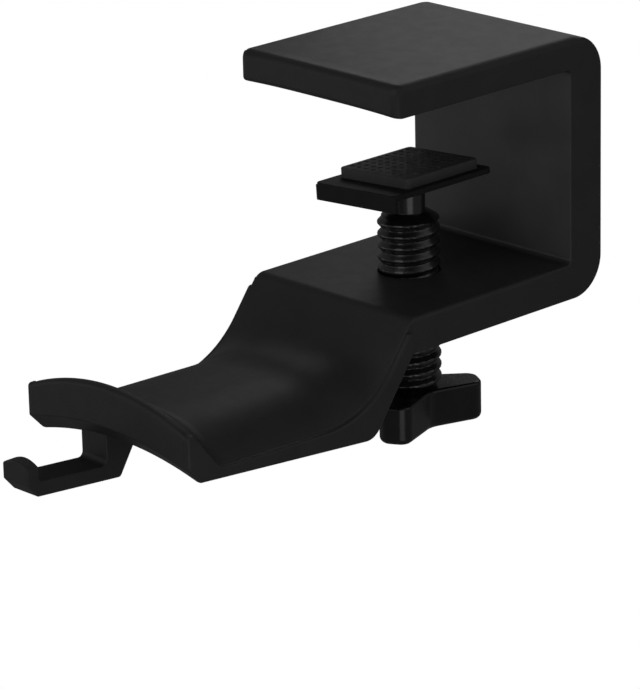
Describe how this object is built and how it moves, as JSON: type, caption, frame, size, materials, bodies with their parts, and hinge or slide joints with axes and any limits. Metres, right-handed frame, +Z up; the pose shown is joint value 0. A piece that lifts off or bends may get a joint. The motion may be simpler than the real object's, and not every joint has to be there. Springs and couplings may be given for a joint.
{
  "type": "headphone hook",
  "caption": "Under-desk headphone hook: C-shaped screw clamp with a padded pressure plate and a lobed knob, an arched saddle with a raised lip and a small cable hook.",
  "frame": {"origin": "on the flat underside of the top jaw, where it rests on the desk, directly above the clamp screw's axis", "axes": "+X from the cable hook's tip to the back wall, +Z up along the clamp screw, +Y across the width"},
  "size_m": [0.1197, 0.0418, 0.0725],
  "materials": {
    "bracket_plastic": "fine-textured black",
    "screw_plastic": "satin black",
    "knob_plastic": "satin black",
    "plate_plastic": "satin black",
    "pad_rubber": "matt black, textured",
    "steel": "zinc-plated"
  },
  "bodies": {
    "bracket": {"bracket": "bracket_plastic"},
    "carrier": {"thrust_washer": "steel"},
    "screw": {"clamp_screw": "screw_plastic", "knob": "knob_plastic", "knob_screw": "steel", "retaining_screw": "steel"},
    "swivel": {"retaining_washer": "steel"},
    "plate": {"pressure_plate": "plate_plastic", "grip_pad": "pad_rubber"}
  },
  "joints": [
    {"name": "plate_lift", "type": "slide", "parent": "bracket", "child": "carrier", "axis": [0, 0, 1], "range_m": [-0.012, 0.0135]},
    {"name": "screw_turn", "type": "hinge", "parent": "carrier", "child": "screw", "pos_m": [0, 0, -0.0402], "axis": [0, 0, 1], "range_deg": [-1963.5, 2209]},
    {"name": "plate_swivel", "type": "hinge", "parent": "carrier", "child": "swivel", "pos_m": [0, 0, -0.0191], "axis": [0, 0, 1], "continuous": true},
    {"name": "plate_tilt", "type": "hinge", "parent": "swivel", "child": "plate", "pos_m": [0, 0, -0.02005], "axis": [1, 0, 0], "range_deg": [-1.6, 9.4]}
  ],
  "couplings": [
    {"joint": "plate_lift", "follows": "screw_turn", "m_per_rad": 0.00035014}
  ]
}
